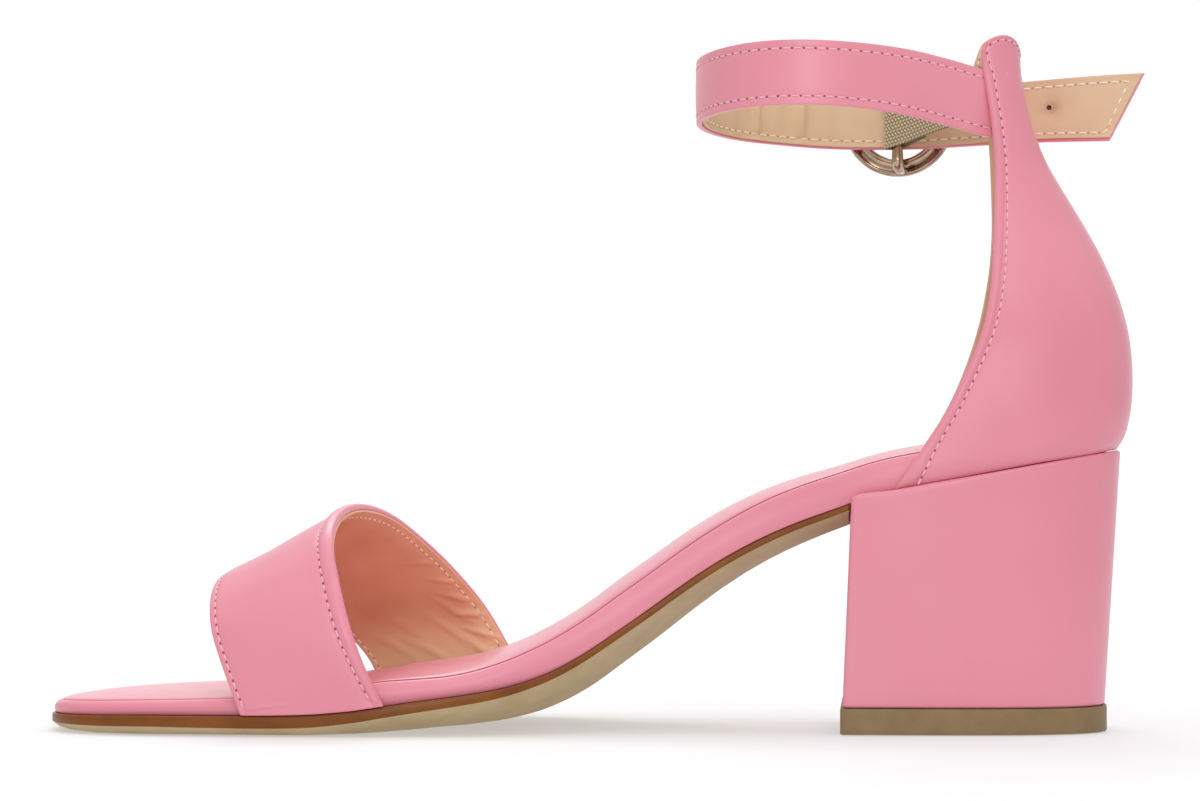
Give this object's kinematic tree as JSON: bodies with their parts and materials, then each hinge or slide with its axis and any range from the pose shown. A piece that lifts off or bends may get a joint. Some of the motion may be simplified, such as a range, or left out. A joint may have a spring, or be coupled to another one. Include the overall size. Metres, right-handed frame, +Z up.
{
  "type": "heeled sandal",
  "caption": "Right-foot sandal: wide toe band, closed heel counter narrowing to a buckled ankle strap, padded footbed, thin arched outsole and covered block heel.",
  "frame": {"origin": "middle of the bounding box, on the floor plane the shoe stands on", "axes": "+X along the shoe from toe to heel, +Y towards the outer (lateral) side, +Z up"},
  "size_m": [0.2395, 0.0856, 0.1509],
  "materials": {
    "pink_leather": "smooth, soft satin sheen",
    "outsole": "matte, darker brown upright edge",
    "heel_tip": "satin moulded",
    "metal": "pale warm nickel, polished",
    "elastic": "woven webbing, matte"
  },
  "bodies": {
    "root": {"outsole": "outsole", "footbed": "pink_leather", "sock": "pink_leather", "heel_block": "pink_leather", "top_lift": "heel_tip", "vamp_band": "pink_leather", "counter_and_ankle_strap": "pink_leather", "buckle_frame": "metal", "buckle_prong": "metal", "elastic_tab": "elastic"}
  },
  "joints": []
}
